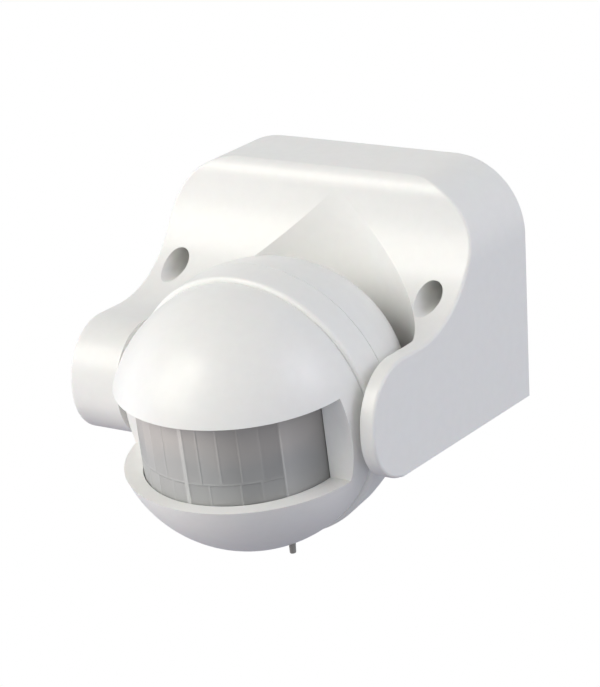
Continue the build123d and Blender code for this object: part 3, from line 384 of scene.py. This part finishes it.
def make_lens():
    """The lens as one closed mesh, in place of its CAD solid."""
    edges = sorted(set(UPPER_ROW + LOWER_ROW))
    line_angle = math.degrees(LINE_HALF_W / LENS_OUTER_R)
    middle_angle = math.degrees(MIDDLE_HALF_W / LENS_OUTER_R)
    marks = [edge + side * (middle_angle if edge == 0 else line_angle)
             for edge in edges for side in (-1, 1)]
    angles = steps(-LENS_END, -BORDER, END_STEP, [])
    angles += steps(-BORDER, BORDER, FACE_STEP, marks)[1:]
    angles += steps(BORDER, LENS_END, END_STEP, [BORDER + line_angle])[1:]
    angles = sorted(angles)
    heights = steps(LENS_LOW, LENS_HIGH, HEIGHT_STEP,
                    (ROW_SPLIT - LINE_HALF_W, ROW_SPLIT + LINE_HALF_W))
    columns, rows = len(angles), len(heights)

    def point(radius, angle, height):
        turn = math.radians(angle)
        return in_head(radius * math.sin(turn), LENS_FORWARD + radius * math.cos(turn), height)

    points = [point(outer_radius(a, h), a, h) for h in heights for a in angles]
    points += [point(inner_radius(a, h), a, h) for h in heights for a in angles]
    skin = columns * rows
    faces, kinds = [], []
    for j in range(rows - 1):
        for i in range(columns - 1):
            corner = j * columns + i
            outer = (corner, corner + 1, corner + columns + 1, corner + columns)
            middle = ((angles[i] + angles[i + 1]) / 2, (heights[j] + heights[j + 1]) / 2)
            faces.append(outer)
            kinds.append(lens_kind(*middle))
            faces.append(tuple(skin + c for c in reversed(outer)))
            kinds.append(EDGE if abs(middle[0]) > BORDER else PLAIN)
    for i in range(columns - 1):
        top = (rows - 1) * columns + i
        faces += [(i, skin + i, skin + i + 1, i + 1), (top, top + 1, skin + top + 1, skin + top)]
    for j in range(rows - 1):
        left, right = j * columns, j * columns + columns - 1
        faces += [(left, left + columns, skin + left + columns, skin + left),
                  (right, skin + right, skin + right + columns, right + columns)]
    kinds += [EDGE] * (len(faces) - len(kinds))
    mesh = bpy.data.meshes.new("segmented_lens")
    mesh.from_pydata(points, [], faces)
    for name in LENS_FINISHES:
        mesh.materials.append(materials[name])
    for polygon, kind in zip(mesh.polygons, kinds):
        polygon.material_index = kind
        polygon.use_smooth = True
    piece = bpy.data.objects.new("segmented_lens", mesh)
    bpy.context.scene.collection.objects.link(piece)
    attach(piece, "head")
    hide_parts("lens")


make_lens()

# ---- backdrop, light and camera -----------------------------------------------------------
# A white box all round shows the object on white from every side. Its bottom is the floor.
BACKDROP_HALF = 2.5
ends = (-BACKDROP_HALF, BACKDROP_HALF)
corners = [(x, y, z) for x in ends for y in ends for z in ends]
walls = [(0, 1, 3, 2), (4, 6, 7, 5), (0, 4, 5, 1), (2, 3, 7, 6), (0, 2, 6, 4), (1, 5, 7, 3)]
backdrop_mesh = bpy.data.meshes.new("backdrop")
backdrop_mesh.from_pydata(corners, [], walls)
backdrop_box = bpy.data.objects.new("backdrop", backdrop_mesh)
bpy.context.scene.collection.objects.link(backdrop_box)
backdrop_finish, backdrop_shader = shader("backdrop")
backdrop_shader.inputs["Base Color"].default_value = (0, 0, 0, 1)
backdrop_shader.inputs["Specular IOR Level"].default_value = 0.0
backdrop_shader.inputs["Emission Color"].default_value = (1, 1, 1, 1)
backdrop_shader.inputs["Emission Strength"].default_value = 1.0
backdrop_mesh.materials.append(backdrop_finish)
backdrop_box.visible_diffuse = False
backdrop_box.visible_glossy = False
backdrop_box.visible_shadow = False
backdrop_box.visible_transmission = False

world = bpy.data.worlds.new("studio")
world.use_nodes = True
bpy.context.scene.world = world
sky_place = add_node(world, "ShaderNodeTexCoord")
sky_parts = add_node(world, "ShaderNodeSeparateXYZ")
sky_height = add_node(world, "ShaderNodeMapRange", From_Min=-1.0)
# (place from straight down to straight up, colour) pairs
SKY = (
    (0.0, (0.194, 0.170, 0.207)),
    (0.36, (0.439, 0.471, 0.529)),
    (0.65, (0.851, 0.837, 0.828)),
    (1.0, (0.060, 0.055, 0.050)),
)
wire(world, sky_place.outputs["Generated"], sky_parts.inputs["Vector"])
wire(world, sky_parts.outputs["Z"], sky_height.inputs["Value"])
wire(world, ramp_of(world, sky_height.outputs["Result"], SKY),
     world.node_tree.nodes["Background"].inputs["Color"])


def softbox(name, place, target, size, power, colour, lights_matt=True):
    """A square area light aimed at a target; without lights_matt it shows in gloss only."""
    light = bpy.data.lights.new(name, "AREA")
    light.size = size
    light.energy = power
    light.color = colour
    lamp = bpy.data.objects.new(name, light)
    lamp.location = place
    lamp.rotation_mode = "QUATERNION"
    lamp.rotation_quaternion = (Vector(target) - Vector(place)).to_track_quat("-Z", "Y")
    lamp.visible_diffuse = lights_matt
    bpy.context.scene.collection.objects.link(lamp)


AIM = (0.0, -0.03, 0.0)
softbox("key", (-0.66, -0.92, 0.66), AIM, 0.8, 8.57, (1.0, 0.985, 0.893))
softbox("right", (1.0, 0.15, 0.80), AIM, 0.8, 4.80, (0.893, 0.891, 1.0))
softbox("left", (-1.25, -0.30, 0.20), AIM, 1.0, 2.71, (0.691, 0.754, 1.0))
softbox("left_low", (-1.0, -0.60, -0.50), AIM, 1.0, 3.37, (1.0, 0.858, 0.797))
softbox("behind", (0.3, 0.80, 0.95), AIM, 1.0, 0.80, (0.494, 0.865, 1.0))
softbox("left_glint", (-0.41, -0.77, 0.89), AIM, 0.24, 1.4, (1.0, 0.98, 0.95), lights_matt=False)
softbox("right_glint", (0.98, 0.15, 0.69), AIM, 0.20, 0.6, (0.95, 0.97, 1.0), lights_matt=False)

CAMERA_PLACE = Vector((0.2913, -0.4757, 0.1668))
CAMERA_RIGHT = Vector((0.8448, 0.5326, -0.0521))
CAMERA_UP = Vector((-0.1266, 0.2935, 0.9476))
LENS_MM = 138.74
SENSOR_MM = 36.0
CAMERA_BACK = CAMERA_RIGHT.cross(CAMERA_UP)
camera_data = bpy.data.cameras.new("camera")
camera_data.lens = LENS_MM
camera_data.sensor_width = SENSOR_MM
camera_data.sensor_fit = "AUTO"
camera = bpy.data.objects.new("camera", camera_data)
camera.matrix_world = axes_at(CAMERA_PLACE, CAMERA_RIGHT, CAMERA_UP, CAMERA_BACK)
bpy.context.scene.collection.objects.link(camera)
bpy.context.scene.camera = camera
bpy.context.scene.view_settings.view_transform = "Standard"
